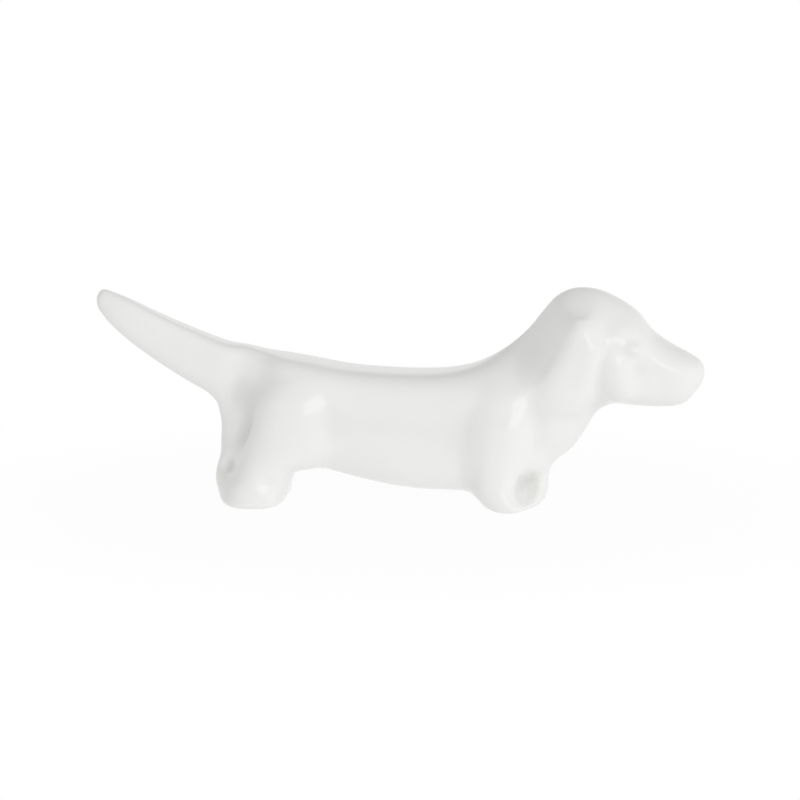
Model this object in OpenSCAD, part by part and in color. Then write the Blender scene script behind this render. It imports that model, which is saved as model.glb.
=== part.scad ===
// Knife rest in the form of a standing dachshund, in millimetres.
// The table is z = 0, the nose points along +X, the dog's left side is +Y.

/* [Barrel] */
// Distance between the middles of the hind and fore feet
wheelbase = 39.5; // [32:0.5:50]
// Height of the saddle of the back, where the blade lies
back_height = 21.5; // [18:0.5:26]
// Rise of the rump above the saddle
rump_rise = 3.3; // [2.5:0.1:4]
// Gap between the table and the loin, in front of the hind legs
loin_gap = 6.2; // [5:0.1:7.5]
// Gap between the table and the chest
chest_gap = 2.6; // [2:0.1:3.5]
// Overhang of the rump behind the middle of the hind feet
rump_overhang = 4.8; // [3.8:0.1:5.8]
// Width across the haunches
haunch_w = 16.8; // [14.6:0.2:20]
// Width across the waist
waist_w = 15.4; // [13:0.2:18.5]
// Width across the shoulders
shoulder_w = 17; // [14.5:0.2:20]

/* [Head and neck] */
// Width across the neck
neck_w = 12.8; // [11:0.2:15]
// Rise of the crown above the saddle
crown_rise = 13; // [11:0.5:16]
// Drop of the jaw below the saddle
jaw_drop = 5.5; // [4.5:0.1:6.5]
// Length of the skull from the nape to the stop
skull_length = 15.2; // [13:0.2:18]
// Width across the skull
skull_w = 14.2; // [12.5:0.2:17]
// Length of the muzzle from the stop to the nose
muzzle_length = 8; // [6.5:0.2:10]
// Depth of the muzzle at the stop
muzzle_depth = 12; // [10:0.2:13]
// Width across the muzzle
muzzle_w = 9.4; // [8:0.2:11]
// Width across the nose
nose_w = 5.6; // [4.5:0.1:7]
// Diameter of the eye
eye_d = 2.4; // [1.8:0.1:3]

/* [Ears] */
// Length of the ear from its top to its tip
ear_length = 13.4; // [11:0.2:15]
// Width of the ear at its broadest
ear_w = 8.2; // [6.8:0.2:9.8]
// Thickness of the ear
ear_t = 3; // [2.5:0.1:3.6]

/* [Tail] */
// Reach of the tail behind its joint, measured along the table
tail_reach = 20; // [16:0.2:24]
// Rise of the tail from its joint to its tip
tail_rise = 11; // [9:0.2:13.4]
// Depth of the tail at its joint
tail_root_depth = 9.4; // [8:0.1:11]
// Depth of the tail at its tip
tail_tip_depth = 4.4; // [3.6:0.1:5.4]
// Width of the tail at its joint
tail_root_w = 8.4; // [7:0.1:10]
// Width of the tail at its tip
tail_tip_w = 3.6; // [3:0.1:4.5]

/* [Legs] */
// Width across the outsides of a pair of feet
stance_w = 19; // [16:0.2:22]
// Length of a hind foot
hind_foot_length = 8.6; // [7.2:0.2:10.4]
// Length of a fore foot
fore_foot_length = 7; // [5.8:0.2:8.4]
// Thickness of the web that joins a pair of legs
web_t = 3.6; // [3:0.1:4.4]
// Distance from the heel of a hind foot back to the edge of its web
hind_web_reach = 1.4; // [1:0.1:1.8]
// Distance from the toe of a fore foot forward to the edge of its web
fore_web_reach = 1.8; // [1.4:0.1:2.2]
// Rounding of the lower edge of a foot
sole_round = 1.1; // [0.8:0.1:1.4]

/* [Joints] */
// Diameter of the key on the neck joint
neck_key_d = 6; // [5:0.2:7.2]
// Diameter of the key on the tail joint
tail_key_d = 4; // [3.2:0.2:4.8]
// Diameter of the key on a leg
leg_key_d = 3.2; // [2.6:0.2:3.8]
// Diameter of the key on an ear
ear_key_d = 2; // [1.6:0.2:2.4]
// Length by which a key enters its socket
key_length = 4; // [3:0.2:4.8]
// Clearance for slip around and beyond a key
key_clearance = 0.15; // [0.1:0.05:0.3]

/* [Hidden] */

// Facets round the ribs and along the lofts
body_sides = 32;
limb_sides = 20;
leg_sides = 13;
flank_steps = 4;
rings_per_rib = 3;
cap_rings = 5;
$fn = 32;

// How square the ribs are: 2 is an ellipse
body_square = 2.3;
leg_square = 2.4;
ear_square = 2.2;

// Share of a leg's width at which its flank turns into the round outside
leg_turn = 0.55;

// Lean of the tail joint from upright, and how much further the tip leans
tail_lean = 19;
tail_turn = 14;
// Share of the tail's width taken from its upper half, which leaves a ridge
tail_ridge = 0.35;

// Places along the dog, counted from the middle of the hind feet
croup_inset = 3.5;
nape_reach = 6.7;
tail_joint_top = [-croup_inset, back_height + rump_rise];
tail_joint_base = tail_joint_top - tail_root_depth * [sin(tail_lean), cos(tail_lean)];
tail_joint_mid = (tail_joint_top + tail_joint_base) / 2;
tail_end_x = tail_joint_mid[0] - tail_reach;
nape_x = wheelbase + nape_reach;
stop_x = nape_x + skull_length;
nose_x = stop_x + muzzle_length;

// The same places shifted, so that the middle of the whole length is at x = 0
hind_x = -(nose_x + tail_end_x) / 2;
mid_x = hind_x + wheelbase / 2;
fore_x = hind_x + wheelbase;

// Heights
rump_z = back_height + rump_rise;
crown_z = back_height + crown_rise;
jaw_z = back_height - jaw_drop;
stop_z = jaw_z + muzzle_depth;

// A rib is an oval across the dog: [top x, top z, base x, base z, half width, ridge].
// Ribs of the tail, from the tip to the joint, at shares of its length
function tail_rib(share) =
    let (mid = tail_joint_mid + [hind_x, 0] + share * [-tail_reach, tail_rise],
         depth = tail_root_depth + (tail_tip_depth - tail_root_depth) * pow(share, 1.3),
         lean = tail_lean + tail_turn * share,
         half = depth / 2 * [sin(lean), cos(lean)],
         width = tail_root_w + (tail_tip_w - tail_root_w) * pow(share, 0.8))
    [mid[0] + half[0], mid[1] + half[1], mid[0] - half[0], mid[1] - half[1], width / 2, tail_ridge];

tail_ribs = [for (share = [1, 0.75, 0.5, 0.25, 0]) tail_rib(share)];

// Ribs of the barrel
barrel_ribs = [
    // croup and seat
    [hind_x - 1, rump_z - 0.1, hind_x - rump_overhang, loin_gap + 6.8, haunch_w * 0.36, 0.15],
    [hind_x + 1.5, rump_z - 0.4, hind_x - rump_overhang + 1.1, loin_gap + 2.8, haunch_w * 0.45, 0],
    // haunches
    [hind_x + 4.5, rump_z - 0.9, hind_x + 1, loin_gap + 0.5, haunch_w / 2, 0],
    [hind_x + 8.5, back_height + rump_rise * 0.47, hind_x + 7.5, loin_gap, haunch_w / 2, 0],
    // loin
    [hind_x + 14.3, back_height + rump_rise * 0.17, hind_x + 14.3, (loin_gap + chest_gap) / 2 + 0.3,
     (haunch_w + waist_w) / 4, 0],
    // waist, under the blade
    [mid_x + 2.3, back_height, mid_x + 2.3, chest_gap + 0.6, waist_w / 2, 0],
    [fore_x - 11.2, back_height + 0.1, fore_x - 10.5, chest_gap, (waist_w + shoulder_w) / 4, 0],
    // shoulders
    [fore_x - 6.5, back_height + 0.9, fore_x - 4.5, chest_gap + 0.1, shoulder_w / 2, 0.05],
    [fore_x - 3, back_height + 2.4, fore_x + 1.5, chest_gap + 1.8, shoulder_w / 2, 0.1],
    // breast
    [fore_x, back_height + 4.2, fore_x + 5.9, chest_gap + 4.7, (shoulder_w + neck_w) / 4 + 0.4, 0.1],
];

// Ribs of the neck, the first of which is the joint
neck_ribs = [
    [fore_x + 2.5, back_height + 6.5, fore_x + 9.7, chest_gap + 7.6, (shoulder_w + neck_w) / 4 - 0.4, 0.1],
    [fore_x + 4.5, crown_z - 4, fore_x + 12.1, jaw_z - 2.4, neck_w / 2, 0.05],
];

// Ribs of the skull, at shares of its length from the nape to the stop
function skull_x(share) = hind_x + nape_x + share * skull_length;

skull_ribs = [
    // nape and throat
    [skull_x(0), crown_z - 1.5, skull_x(0.49), jaw_z - 0.2, skull_w * 0.46, 0],
    // crown
    [skull_x(0.2), crown_z - 0.1, skull_x(0.62), jaw_z + 0.3, skull_w * 0.49, 0],
    [skull_x(0.41), crown_z - 0.2, skull_x(0.74), jaw_z + 0.1, skull_w / 2, 0],
    // brow
    [skull_x(0.65), crown_z - 1.6, skull_x(0.87), jaw_z, skull_w * 0.475, 0],
    [skull_x(0.87), crown_z - 4, skull_x(0.99), jaw_z, skull_w * 0.425, 0.05],
];

// Ribs of the muzzle, at shares of its length from the stop to the nose
function muzzle_x(share) = hind_x + stop_x + share * muzzle_length;

muzzle_ribs = [
    // stop
    [muzzle_x(0), stop_z, muzzle_x(0.15), jaw_z, (skull_w + muzzle_w) * 0.222, 0.1],
    [muzzle_x(0.34), stop_z - 1.8, muzzle_x(0.4), jaw_z + 0.1, muzzle_w / 2, 0.1],
    // lips
    [muzzle_x(0.72), stop_z - 3.6, muzzle_x(0.7), jaw_z + 1.2, (muzzle_w * 2 + nose_w) / 6, 0.05],
    // nose
    [muzzle_x(1), stop_z - 5.1, muzzle_x(1), jaw_z + 3.8, nose_w / 2, 0],
];

spine = concat(tail_ribs, barrel_ribs, neck_ribs, skull_ribs, muzzle_ribs);
tail_joint = len(tail_ribs) - 1;
neck_joint = len(tail_ribs) + len(barrel_ribs);
nose_end = len(spine) - 1;

// A leg row is half of a level cut through a pair of legs:
// [z, web rear x, leg rear x, leg front x, web front x, outside y].
hind_heel = hind_x - hind_foot_length / 2;
hind_toe = hind_x + hind_foot_length / 2;
fore_heel = fore_x - fore_foot_length / 2;
fore_toe = fore_x + fore_foot_length / 2;
foot_y = stance_w / 2;
hind_web = hind_heel - hind_web_reach;
fore_web = fore_toe + fore_web_reach;

// Heights and insets that round the lower edge of a foot
sole_steps = [[0, sole_round], [sole_round * 0.3, sole_round * 0.3], [sole_round, 0]];

hind_leg_rows = concat(
    [for (step = sole_steps)
        [step[0], hind_web + step[1], hind_heel + step[1], hind_toe - step[1], hind_toe - step[1],
         foot_y - step[1]]],
    [
        // pastern
        [loin_gap * 0.6, hind_web, hind_heel + 0.3, hind_toe + 0.6, hind_toe + 0.8, foot_y],
        // hock, level with the loin
        [loin_gap + 1, hind_web + 0.6, hind_heel + 1, hind_toe + 2.2, hind_toe + 2.4, foot_y - 0.1],
        // thigh, up to its end inside the torso
        [loin_gap + 5, hind_heel + 1.4, hind_heel + 1.8, hind_toe + 4, hind_toe + 4, foot_y - 0.2],
        [loin_gap + 9, hind_heel + 4, hind_heel + 4, hind_toe + 4.2, hind_toe + 4.2, foot_y - 0.8],
        [loin_gap + 11, hind_heel + 6, hind_heel + 6, hind_toe + 2.5, hind_toe + 2.5, foot_y - 2.2],
    ]);

foreleg_rows = concat(
    [for (step = sole_steps)
        [step[0], fore_heel + step[1], fore_heel + step[1], fore_toe - step[1], fore_web - step[1],
         foot_y - step[1]]],
    [
        // elbow, level with the chest
        [chest_gap + 1, fore_heel - 3.2, fore_heel - 3.2, fore_toe - 1.6, fore_web, foot_y],
        [chest_gap + 3.5, fore_heel - 4.4, fore_heel - 4.4, fore_toe - 3.4, fore_web - 0.3, foot_y - 0.1],
        // shoulder, up to its end inside the torso
        [chest_gap + 7, fore_heel - 4.2, fore_heel - 4.2, fore_toe - 3.6, fore_toe - 1, foot_y - 0.2],
        [chest_gap + 12, fore_heel - 2.4, fore_heel - 2.4, fore_toe - 2.2, fore_toe - 2.2, foot_y - 0.6],
        [chest_gap + 15, fore_heel + 0.5, fore_heel + 0.5, fore_toe - 3, fore_toe - 3, foot_y - 2.2],
    ]);

// An ear row is a level cut through the left ear: [z, rear x, front x, middle y, half thickness].
// It is set by shares of the ear's length, width and thickness and by its shift from the top of the ear
ear_top_x = skull_x(0.3);
ear_top_z = crown_z - 4;
ear_y = skull_w / 2;

function ear_row(drop, width, thick, shift_x, shift_y) =
    [ear_top_z - drop * ear_length, ear_top_x + shift_x - width * ear_w / 2,
     ear_top_x + shift_x + width * ear_w / 2, ear_y + shift_y, thick * ear_t / 2];

ear_rows = [
    // tip
    ear_row(1, 0.3, 0.6, -2, -0.2),
    ear_row(0.88, 0.8, 0.9, -2, 0),
    // broadest part
    ear_row(0.72, 1, 1, -1.6, 0.2),
    ear_row(0.55, 0.94, 1, -0.8, 0.2),
    ear_row(0.32, 0.78, 1, 0, -0.1),
    // root
    ear_row(0.12, 0.56, 0.9, 0.2, -0.7),
    ear_row(0, 0.3, 0.6, 0, -1.2),
];

// Keys: how far they are rooted in their own piece, and where they stand
key_bite = 1.5;
leg_key_y = 4.6;
hind_key_x = hind_x + 1;
hind_key_top = loin_gap + 2 + key_length;
fore_key_x = fore_x - 2;
fore_key_top = chest_gap + 3 + key_length;
ear_key_x = ear_top_x;
ear_key_z = ear_top_z - ear_length * 0.4;

// Middle of the left eye
eye_x = skull_x(0.79);
eye_y = skull_w * 0.38;
eye_z = jaw_z + 9.4;

// Share of a rib spacing taken by the rounded ends of the nose and the tail
nose_cap = 0.8;
tail_cap = 0.3;

// Curve through the rows of a list, read at a fractional row number
function row_at(rows, at) =
    let (i = min(floor(at), len(rows) - 2),
         f = at - i,
         b = rows[i],
         c = rows[i + 1],
         a = i > 0 ? rows[i - 1] : 2 * b - c,
         d = i < len(rows) - 2 ? rows[i + 2] : 2 * c - b)
    b + (f * (c - a) + f * f * (2 * a - 5 * b + 4 * c - d) + f * f * f * (3 * b - a - 3 * c + d)) / 2;

// Sine or cosine bent towards a square
function squared(value, square) = sign(value) * pow(abs(value), 2 / square);

// Points round one rib, shrunk about its middle
function rib_ring(rib, sides, square, shrink) =
    [for (k = [0 : sides - 1])
        let (up = squared(sin(360 * k / sides), square),
             out = squared(cos(360 * k / sides), square),
             rib_x = (rib[0] + rib[2]) / 2,
             rib_z = (rib[1] + rib[3]) / 2)
        [rib_x + shrink * up * (rib[0] - rib[2]) / 2,
         shrink * out * rib[4] * (1 - rib[5] * up),
         rib_z + shrink * up * (rib[1] - rib[3]) / 2]];

// Row numbers and shrinkage of the rings of a loft, with a rounded cap at either end if asked for
function loft_steps(from, to, cap_from, cap_to) = concat(
    [for (k = [0 : cap_rings - 1])
        if (cap_from > 0)
            let (turn = 90 * (k + 0.4) / cap_rings)
            [from + cap_from * (1 - cos(turn)), sin(turn)]],
    let (start = from + cap_from,
         end = to - cap_to,
         count = ceil((end - start) * rings_per_rib))
    [for (k = [0 : count]) [start + (end - start) * k / count, 1]],
    [for (k = [cap_rings - 1 : -1 : 0])
        if (cap_to > 0)
            let (turn = 90 * (k + 0.4) / cap_rings)
            [to - cap_to * (1 - cos(turn)), sin(turn)]]);

// Points along one flank of a leg, from the middle plane over the edge of the web to the leg
function leg_flank(web_x, leg_x, turn_y, z) = concat(
    [[web_x, 0, z]],
    [for (k = [0 : flank_steps - 1])
        let (f = k / flank_steps)
        [web_x + (leg_x - web_x) * f * f * (3 - 2 * f), web_t / 2 + (turn_y - web_t / 2) * f, z]]);

// Points round half of a level cut through a pair of legs, with the flat side on the middle plane
function leg_ring(row) =
    let (leg_mid = (row[2] + row[3]) / 2,
         leg_half = (row[3] - row[2]) / 2,
         turn_y = row[5] * leg_turn,
         rear = leg_flank(row[1], row[2], turn_y, row[0]))
    concat(
        leg_flank(row[4], row[3], turn_y, row[0]),
        [for (k = [0 : leg_sides])
            [leg_mid + leg_half * squared(cos(180 * k / leg_sides), leg_square),
             turn_y + (row[5] - turn_y) * squared(sin(180 * k / leg_sides), leg_square),
             row[0]]],
        [for (k = [len(rear) - 1 : -1 : 0]) rear[k]]);

// Points round a level cut through an ear
function ear_ring(row) =
    [for (k = [0 : limb_sides - 1])
        [(row[1] + row[2]) / 2 + (row[2] - row[1]) / 2 * squared(cos(360 * k / limb_sides), ear_square),
         row[3] + row[4] * squared(sin(360 * k / limb_sides), ear_square),
         row[0]]];

// Solid over a list of rings that have the same even number of points
module skin(rings) {
    sides = len(rings[0]);
    last = (len(rings) - 1) * sides;
    walls = [for (r = [0 : len(rings) - 2], k = [0 : sides - 1])
        let (a = r * sides + k,
             b = r * sides + (k + 1) % sides)
        each [[a, a + sides, b], [b, a + sides, b + sides]]];
    first_cap = [for (k = [0 : sides / 2 - 2])
        let (across = sides - 1 - k)
        each [[k, k + 1, across], [k + 1, across - 1, across]]];
    last_cap = [for (face = first_cap) [last + face[2], last + face[1], last + face[0]]];
    polyhedron([for (ring = rings) each ring], concat(first_cap, walls, last_cap));
}

// Loft over part of the spine
module spine_loft(from, to, sides, square, cap_from, cap_to) {
    skin([for (step = loft_steps(from, to, cap_from, cap_to))
        rib_ring(row_at(spine, step[0]), sides, square, step[1])]);
}

// Key across a joint of the spine, along +X (way = 1) or against it (way = -1)
module spine_key(joint, d, way, slack) {
    rib = spine[joint];
    translate([(rib[0] + rib[2]) / 2, 0, (rib[1] + rib[3]) / 2])
        rotate([0, atan2(rib[0] - rib[2], rib[1] - rib[3]) + way * 90, 0])
        translate([0, 0, -key_bite])
        cylinder(d = d + 2 * slack, h = key_bite + key_length + slack);
}

module tail_key(slack) {
    spine_key(tail_joint, tail_key_d, 1, slack);
}

module neck_key(slack) {
    spine_key(neck_joint, neck_key_d, -1, slack);
}

// Key of a leg on the left side
module leg_key(x, top, slack) {
    translate([x, leg_key_y, key_bite])
        cylinder(d = leg_key_d + 2 * slack, h = top - key_bite + slack);
}

// Key of the left ear
module ear_key(slack) {
    translate([ear_key_x, ear_y + key_bite / 2, ear_key_z])
        rotate([90, 0, 0])
        cylinder(d = ear_key_d + 2 * slack, h = key_bite + key_length + slack);
}

module both_sides() {
    children();
    mirror([0, 1, 0])
        children();
}

module torso_form() {
    spine_loft(tail_joint, neck_joint, body_sides, body_square, 0, 0);
}

module head_form() {
    spine_loft(neck_joint, nose_end, body_sides, body_square, 0, nose_cap);
}

module leg_form(rows) {
    skin([for (at = [0 : 1 / rings_per_rib : len(rows) - 1]) leg_ring(row_at(rows, at))]);
}

module ear_form() {
    skin([for (at = [0 : 1 / rings_per_rib : len(ear_rows) - 1]) ear_ring(row_at(ear_rows, at))]);
}

// Turns a piece made on the left side (1) to the side asked for: 1 or -1
module on_side(side) {
    mirror([0, side < 0 ? 1 : 0, 0])
        children();
}

// Leg on one side, coped to the torso
module leg(rows, key_x, key_top, side) {
    difference() {
        on_side(side)
            leg_form(rows);
        torso_form();
    }
    on_side(side)
        leg_key(key_x, key_top, 0);
}

// Ear on one side, coped to the head and the neck
module ear(side) {
    difference() {
        on_side(side)
            ear_form();
        head_form();
        torso_form();
    }
    on_side(side)
        ear_key(0);
}

module torso() {
    color("white")
        difference() {
            torso_form();
            tail_key(key_clearance);
            neck_key(key_clearance);
            both_sides() {
                leg_key(hind_key_x, hind_key_top, key_clearance);
                leg_key(fore_key_x, fore_key_top, key_clearance);
            }
        }
}

module head() {
    color("white") {
        difference() {
            head_form();
            both_sides()
                ear_key(key_clearance);
        }
        neck_key(0);
        both_sides()
            translate([eye_x, eye_y, eye_z])
            sphere(d = eye_d);
    }
}

module tail() {
    color("white") {
        spine_loft(0, tail_joint, body_sides, body_square, tail_cap, 0);
        tail_key(0);
    }
}

module left_ear() {
    color("white")
        ear(1);
}

module right_ear() {
    color("white")
        ear(-1);
}

module left_foreleg() {
    color("white")
        leg(foreleg_rows, fore_key_x, fore_key_top, 1);
}

module right_foreleg() {
    color("white")
        leg(foreleg_rows, fore_key_x, fore_key_top, -1);
}

module left_hind_leg() {
    color("white")
        leg(hind_leg_rows, hind_key_x, hind_key_top, 1);
}

module right_hind_leg() {
    color("white")
        leg(hind_leg_rows, hind_key_x, hind_key_top, -1);
}

torso();
head();
left_ear();
right_ear();
tail();
left_foreleg();
right_foreleg();
left_hind_leg();
right_hind_leg();
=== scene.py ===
"""Porcelain dachshund knife rest: the glazed skin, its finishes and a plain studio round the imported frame.

The figure is modelled the way a potter builds one. Forms are welded together as signed distances on a
lattice, one skin is drawn over them, and the skin is cut into the frame's nine pieces along their joints.
The figure's lengths are in millimetres until a mesh is made; those of the finishes, the lamp and the table
are in metres.
"""

import logging
import math
from collections.abc import Sequence
from dataclasses import dataclass, field
from enum import Enum
from typing import ClassVar

import bpy
import numpy as np
import openvdb
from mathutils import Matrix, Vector

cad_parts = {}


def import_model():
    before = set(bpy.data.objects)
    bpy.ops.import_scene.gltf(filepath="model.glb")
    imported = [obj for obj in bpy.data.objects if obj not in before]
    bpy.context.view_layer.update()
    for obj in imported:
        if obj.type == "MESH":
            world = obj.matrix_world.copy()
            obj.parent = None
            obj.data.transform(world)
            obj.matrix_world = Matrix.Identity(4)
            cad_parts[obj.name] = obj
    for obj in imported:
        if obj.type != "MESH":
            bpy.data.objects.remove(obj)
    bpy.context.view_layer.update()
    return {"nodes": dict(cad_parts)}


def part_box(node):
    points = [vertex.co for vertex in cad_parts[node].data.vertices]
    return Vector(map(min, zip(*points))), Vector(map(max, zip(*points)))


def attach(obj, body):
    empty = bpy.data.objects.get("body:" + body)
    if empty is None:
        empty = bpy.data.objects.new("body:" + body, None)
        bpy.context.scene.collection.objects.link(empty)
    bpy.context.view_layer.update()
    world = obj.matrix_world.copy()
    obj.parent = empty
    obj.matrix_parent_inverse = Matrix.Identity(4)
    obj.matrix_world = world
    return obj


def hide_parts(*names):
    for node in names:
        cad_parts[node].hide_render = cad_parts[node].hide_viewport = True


Pair = tuple[float, float]
Triple = tuple[float, float, float]
Colour = tuple[float, float, float, float]
Edge = tuple[int, int]
Triangle = tuple[int, int, int]
Socket = bpy.types.NodeSocket
Input = Socket | float | Sequence[float]

LOG = logging.getLogger("knife_rest")
MM = 0.001
TINY = 1e-6
UNIT = (0.0, 1.0)
WHITE = (1.0, 1.0, 1.0, 1.0)
# Name of the point attribute that darkens the glaze in folds: partly pooled glaze, partly painted shade.
POOL_AND_SHADE = "glaze_fold"

# How finely the lofts are drawn, and how their ends are closed.
SPINE_SIDES = 160
SPINE_STEPS = 10
LIMB_SIDES = 96
LIMB_STEPS = 8
LIMB_CLOSE = 0.01
END_START = 40.0
END_FINISH = 89.5
END_RINGS = 13

# How many of its own widths a blur reaches.
BLUR_REACH = 2.5

# What stands for the middle plane among the pieces, and for no quad among the quads.
MIDDLE_PLANE = -1
NO_QUAD = -1

# How the frame's flat joint faces are told from its other faces.
JOINT_SIDEWAYS = 0.01
JOINT_FACING = 0.5
NORMAL_DIGITS = 2
DEPTH_DIGITS = 5


class Part(Enum):
    """The kinds of piece that the skin is cut into."""

    TORSO = 0
    HEAD = 1
    EAR = 2
    TAIL = 3
    FORELEG = 4
    HIND_LEG = 5


@dataclass
class Lattice:
    """Evenly spaced points in which the figure is modelled.

    The points lie alike to both sides of the middle plane, so that the skin gets a line of vertices on it.
    Distances from a loft are kept within a band, whose width is in steps.
    """

    low: Triple = (-50.0, -11.5, -2.5)
    high: Triple = (50.0, 11.5, 37.5)
    step: float = 0.25
    band: float = 16.0
    shape: tuple[int, ...] = field(init=False)
    origin: np.ndarray = field(init=False)

    def __post_init__(self) -> None:
        """Works out the number of points and the place of the first one."""
        counts = [round((end - start) / self.step) for start, end in zip(self.low, self.high)]
        counts[1] += counts[1] % 2
        self.shape = tuple(counts)
        self.origin = np.array([self.low[0], (0.5 - counts[1] / 2) * self.step, self.low[2]])

    def axes(self) -> list[np.ndarray]:
        """Gives the places of the lattice points.

        Returns:
            Their x, distance from the middle plane and z, each shaped to spread over the lattice.
        """
        lines = [o + self.step * np.arange(n) for o, n in zip(self.origin, self.shape)]
        lines[1] = np.abs(lines[1])
        return list(np.ix_(*[line.astype(np.float32) for line in lines]))

    def distance(self, rings: np.ndarray) -> np.ndarray:
        """Signed distance from a closed loft.

        Args:
            rings: points of the loft, by ring and by place round the ring.

        Returns:
            The distance at each lattice point, negative inside, cut off at the width of the band.
        """
        count, sides = rings.shape[:2]
        points = (rings.reshape(-1, 3) - self.origin) / self.step
        ring, side = np.meshgrid(np.arange(count - 1), np.arange(sides), indexing="ij")
        after = (side + 1) % sides
        quads = np.stack([ring * sides + side, ring * sides + after,
                          (ring + 1) * sides + after, (ring + 1) * sides + side], axis=-1).reshape(-1, 4)
        grid = openvdb.FloatGrid.createLevelSetFromPolygons(
            points.astype(np.float32), quads=quads.astype(np.uint32),
            transform=openvdb.createLinearTransform(1.0), halfWidth=self.band)
        values = np.empty(self.shape, np.float32)
        grid.copyToArray(values, ijk=(0, 0, 0))
        return values * np.float32(self.step)

    def sample(self, values: np.ndarray, places: np.ndarray) -> np.ndarray:
        """Values between the lattice points.

        Args:
            values: one number per lattice point.
            places: points in millimetres, one per row.

        Returns:
            The number at each place.
        """
        at = (places - self.origin) / self.step
        base = np.clip(np.floor(at).astype(int), 0, np.array(self.shape) - 2)
        share = at - base
        total = np.zeros(len(places))
        for corner in np.ndindex(2, 2, 2):
            weight = np.prod(np.where(corner, share, 1 - share), axis=1)
            total += weight * values[tuple((base + corner).T)]
        return total


def both_sides(values: np.ndarray) -> np.ndarray:
    """A form and its mirror image in the middle plane."""
    return np.minimum(values, values[:, ::-1])


def weld(first: np.ndarray, second: np.ndarray, fillet: float | np.ndarray) -> np.ndarray:
    """Two forms joined, with a fillet of about this radius along the joint."""
    near = np.maximum(fillet - np.abs(first - second), 0) / fillet
    return (np.minimum(first, second) - near * near * fillet / 4).astype(np.float32)


def carve(body: np.ndarray, cutter: np.ndarray, fillet: float) -> np.ndarray:
    """A form with another one cut out of it, and a rounded edge round the cut."""
    return -weld(-body, cutter, fillet)


def soften(values: np.ndarray, width: float) -> np.ndarray:
    """A field blurred, as glaze rounds off a fold.

    Args:
        values: one number per lattice point.
        width: the width of the blur in lattice steps.

    Returns:
        The blurred field.
    """
    half = math.ceil(BLUR_REACH * width)
    weights = np.exp(-0.5 * (np.arange(-half, half + 1) / width) ** 2)
    weights = (weights / weights.sum()).astype(np.float32)
    for axis in range(3):
        padded = np.pad(values, [(half, half) if a == axis else (0, 0) for a in range(3)], mode="edge")
        length = values.shape[axis]
        blurred = np.zeros_like(values)
        for shift, weight in enumerate(weights):
            blurred += weight * np.take(padded, range(shift, shift + length), axis=axis)
        values = blurred
    return values


def through(rows: np.ndarray, steps: int) -> np.ndarray:
    """A smooth run of rows through the given ones.

    Args:
        rows: one row of numbers per station.
        steps: how many rows to make from each station to the next.

    Returns:
        The longer list of rows, first and last station included.
    """
    ends = np.vstack([2 * rows[0] - rows[1], rows, 2 * rows[-1] - rows[-2]])
    run = []
    for a, b, c, d in zip(ends, ends[1:], ends[2:], ends[3:]):
        for f in np.arange(steps) / steps:
            run.append(b + (f * (c - a) + f * f * (2 * a - 5 * b + 4 * c - d)
                            + f ** 3 * (3 * b - a - 3 * c + d)) / 2)
    return np.array([*run, rows[-1]])


def squared(value: np.ndarray, squareness: np.ndarray) -> np.ndarray:
    """Sine or cosine bent from a circle (squareness 2) towards a square (more) or a roof (less)."""
    return np.sign(value) * np.abs(value) ** (2 / squareness)


@dataclass(frozen=True)
class Rib:
    """One cross-section of the spine: a plane cut from a point on the back to a point on the belly.

    Each point is an X beyond the piece's station and a height above the table. The rib is widest at a share
    of the way from the belly to the back, and has one squareness above that and another one below.
    """

    top: Pair
    base: Pair
    half_width: float
    widest: float
    back: float
    belly: float

    def row(self, at: float) -> list[float]:
        """The rib as a row of numbers, for a piece whose station is at this X."""
        return [at + self.top[0], self.top[1], at + self.base[0], self.base[1],
                self.half_width, self.widest, self.back, self.belly]


@dataclass(frozen=True)
class Slice:
    """One level cut through a leg, web or ear.

    Its rear and front are an X beyond the piece's station. Its inside and outside are a distance from the
    middle plane, negative on the far side of it.
    """

    z: float
    rear: float
    front: float
    inside: float
    outside: float
    squareness: float

    def row(self, at: float) -> list[float]:
        """The slice as a row of numbers, for a piece whose station is at this X."""
        return [self.z, at + self.rear, at + self.front, self.inside, self.outside, self.squareness]


def web_slice(z: float, rear: float, front: float, half_width: float, squareness: float) -> Slice:
    """A level cut through a web, which goes across the middle plane."""
    return Slice(z, rear, front, -half_width, half_width, squareness)


@dataclass(frozen=True)
class Bulge:
    """A rounded swelling or hollow on either side, turned in its side view by an angle in degrees."""

    centre: Triple
    radii: Triple
    lean: float = 0.0
    squareness: float = 2.0

    def distance(self, lattice: Lattice, at: float) -> np.ndarray:
        """Signed distance from the swelling.

        Args:
            lattice: the points at which it is wanted.
            at: the X of the piece's station.

        Returns:
            The distance at each lattice point, negative inside.
        """
        x, y, z = lattice.axes()
        turn = math.radians(self.lean)
        ahead, above = x - at - self.centre[0], z - self.centre[2]
        along = ahead * math.cos(turn) + above * math.sin(turn)
        up = above * math.cos(turn) - ahead * math.sin(turn)
        shares = [np.abs(p / r) for p, r in zip((along, y - self.centre[1], up), self.radii)]
        power = self.squareness
        near = sum(share ** power for share in shares) ** (1 / power)
        slope = np.sqrt(sum((share ** (power - 1) / r) ** 2 for share, r in zip(shares, self.radii))) + TINY
        return ((near - 1) * near ** (power - 1) / slope).astype(np.float32)


def once_round(sides: int) -> np.ndarray:
    """Evenly spaced angles once round a ring."""
    return 2 * np.pi * np.arange(sides) / sides


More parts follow.
